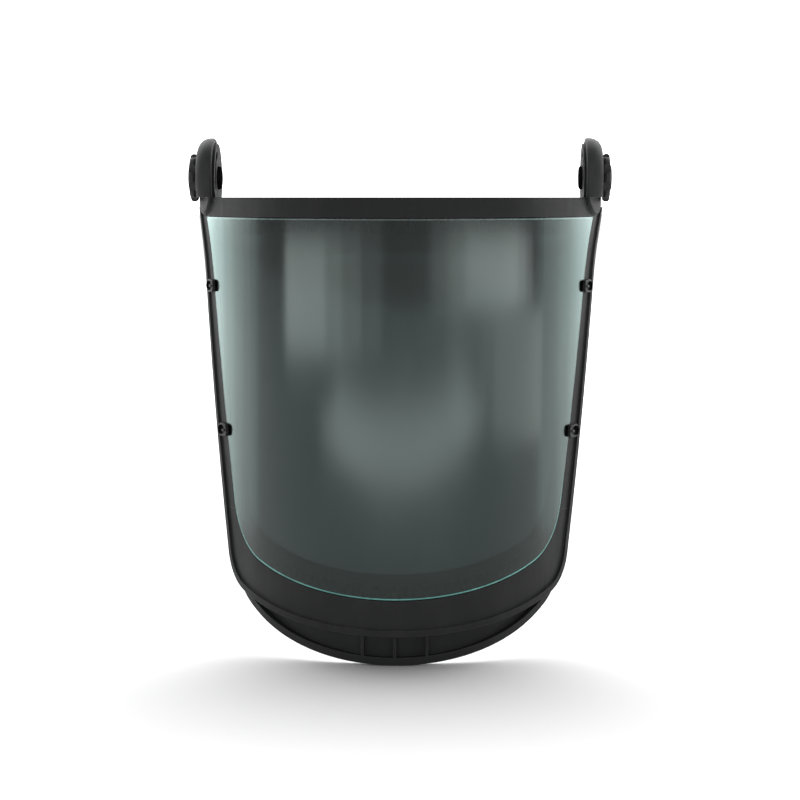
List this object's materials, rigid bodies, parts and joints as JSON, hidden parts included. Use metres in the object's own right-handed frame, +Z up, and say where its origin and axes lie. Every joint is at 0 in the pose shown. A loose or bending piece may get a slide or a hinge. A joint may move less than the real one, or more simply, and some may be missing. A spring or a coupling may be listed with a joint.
{
  "type": "face shield",
  "caption": "Full face shield: tinted curved visor in a moulded frame with brow bar and chin guard, tilting on side knobs on a ratchet headband.",
  "frame": {"origin": "centre of the headband's opening, where the middle of the wearer's head is", "axes": "+Z up with the visor lowered, the visor faces -Y, +X to the right as seen from the front; the tilt axis is parallel to X"},
  "size_m": [0.2616, 0.2788, 0.3075],
  "materials": {
    "frame_plastic": "fine moulded grain",
    "tinted_polycarbonate": "polished, green tint",
    "gasket_rubber": "matt",
    "band_plastic": "satin moulded",
    "knob_plastic": "semi-gloss moulded",
    "rivet_plastic": "moulded",
    "gear_plastic": "natural nylon",
    "foam_fabric": "brushed knit over foam",
    "fibre": "hard fibre",
    "steel": "black zinc plated",
    "spring_steel": "bright",
    "brass": "turned"
  },
  "bodies": {
    "headgear": {"headband_front": "band_plastic", "sweatband": "foam_fabric", "bracket_rivets": "rivet_plastic", "strap_rivets": "rivet_plastic", "ratchet_housing": "band_plastic", "ratchet_cover": "band_plastic", "housing_screws": "steel", "detent_plate": "spring_steel", "nape_pad": "foam_fabric", "temple_bracket_left": "band_plastic", "rear_strap_left": "band_plastic", "pivot_stud_left": "steel", "friction_washer_left": "fibre", "temple_bracket_right": "band_plastic", "rear_strap_right": "band_plastic", "pivot_stud_right": "steel", "friction_washer_right": "fibre"},
    "shield": {"brow_bar": "frame_plastic", "chin_guard": "frame_plastic", "chin_lip": "frame_plastic", "visor": "tinted_polycarbonate", "visor_gasket": "gasket_rubber", "clip_screws": "steel", "frame_screws": "steel", "lip_screws": "steel", "side_arm_left": "frame_plastic", "pivot_bush_left": "gear_plastic", "stop_pin_left": "steel", "side_arm_right": "frame_plastic", "pivot_bush_right": "gear_plastic", "stop_pin_right": "steel"},
    "ratchet": {"ratchet_knob": "knob_plastic", "pinion": "gear_plastic", "ratchet_screw": "steel"},
    "knob_left": {"clamp_knob_left": "knob_plastic", "knob_insert_left": "brass", "spring_washer_left": "spring_steel"},
    "clip_upper_left": {"visor_clip_upper_left": "knob_plastic"},
    "clip_lower_left": {"visor_clip_lower_left": "knob_plastic"},
    "knob_right": {"clamp_knob_right": "knob_plastic", "knob_insert_right": "brass", "spring_washer_right": "spring_steel"},
    "clip_upper_right": {"visor_clip_upper_right": "knob_plastic"},
    "clip_lower_right": {"visor_clip_lower_right": "knob_plastic"}
  },
  "joints": [
    {"name": "tilt", "type": "hinge", "parent": "headgear", "child": "shield", "pos_m": [0, -0.042, 0.05], "axis": [-1, 0, 0], "range_deg": [0, 88]},
    {"name": "ratchet_turn", "type": "hinge", "parent": "headgear", "child": "ratchet", "pos_m": [0, 0.11107, -0.02079], "axis": [0, 0.9829, -0.184], "continuous": true},
    {"name": "knob_left_turn", "type": "hinge", "parent": "headgear", "child": "knob_left", "pos_m": [-0.1255, -0.042, 0.05], "axis": [-1, 0, 0], "range_deg": [0, 360]},
    {"name": "clip_upper_left_turn", "type": "hinge", "parent": "shield", "child": "clip_upper_left", "pos_m": [-0.11511, -0.05905, -0.016], "axis": [-0.9234, -0.3839, 0], "range_deg": [0, 90]},
    {"name": "clip_lower_left_turn", "type": "hinge", "parent": "shield", "child": "clip_lower_left", "pos_m": [-0.10633, -0.07756, -0.103], "axis": [-0.8816, -0.472, 0], "range_deg": [0, 90]},
    {"name": "knob_right_turn", "type": "hinge", "parent": "headgear", "child": "knob_right", "pos_m": [0.1255, -0.042, 0.05], "axis": [1, 0, 0], "range_deg": [0, 360]},
    {"name": "clip_upper_right_turn", "type": "hinge", "parent": "shield", "child": "clip_upper_right", "pos_m": [0.11511, -0.05905, -0.016], "axis": [0.9234, -0.3839, 0], "range_deg": [0, 90]},
    {"name": "clip_lower_right_turn", "type": "hinge", "parent": "shield", "child": "clip_lower_right", "pos_m": [0.10633, -0.07756, -0.103], "axis": [0.8816, -0.472, 0], "range_deg": [0, 90]}
  ]
}
